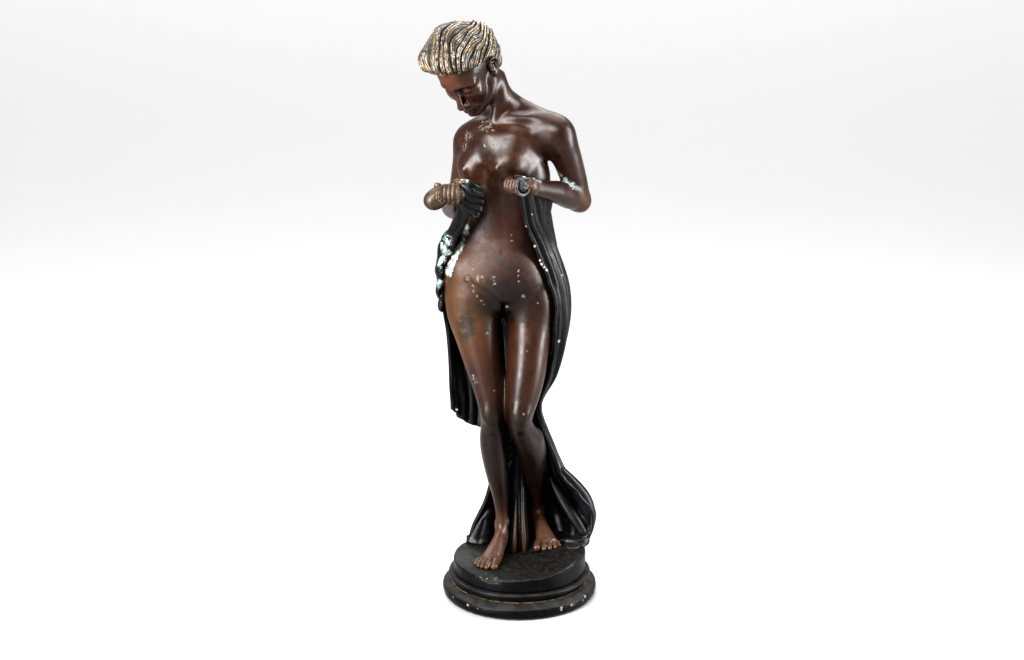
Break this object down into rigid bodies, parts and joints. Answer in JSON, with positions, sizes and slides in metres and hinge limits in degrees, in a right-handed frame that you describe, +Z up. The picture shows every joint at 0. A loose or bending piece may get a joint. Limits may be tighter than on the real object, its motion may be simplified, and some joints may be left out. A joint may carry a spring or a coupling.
{
  "type": "bronze statuette",
  "caption": "Patinated bronze statuette of a standing draped woman with bowed head, both fists gripping a cloth, on a round stepped base.",
  "frame": {"origin": "centre of the felt's underside, on the table", "axes": "+Z up the figure, -Y out of its front, +X towards its own left"},
  "size_m": [0.1799, 0.164, 0.5993],
  "materials": {
    "skin_patina": "glossy brown patina",
    "drape_patina": "satin black patina",
    "hair_patina": "dark patina rubbed back on the strands",
    "worn_gold": "rubbed brown patina",
    "base_patina": "satin black patina with worn edges",
    "felt": "matt felt",
    "steel": "plain steel"
  },
  "bodies": {
    "root": {"felt_pad": "felt", "plinth": "base_patina", "collar": "base_patina", "terrace": "base_patina", "right_stud": "steel", "right_washer": "steel", "right_nut": "steel", "left_stud": "steel", "left_washer": "steel", "left_nut": "steel", "body": "skin_patina", "left_arm": "skin_patina", "left_hand": "worn_gold", "right_arm": "skin_patina", "right_hand": "worn_gold", "head": "skin_patina", "hair": "hair_patina", "main_cloth": "drape_patina", "gathered_fall": "drape_patina", "hanging_panel": "drape_patina", "cloth_bundle": "drape_patina", "cloth_tail": "worn_gold"}
  },
  "joints": []
}
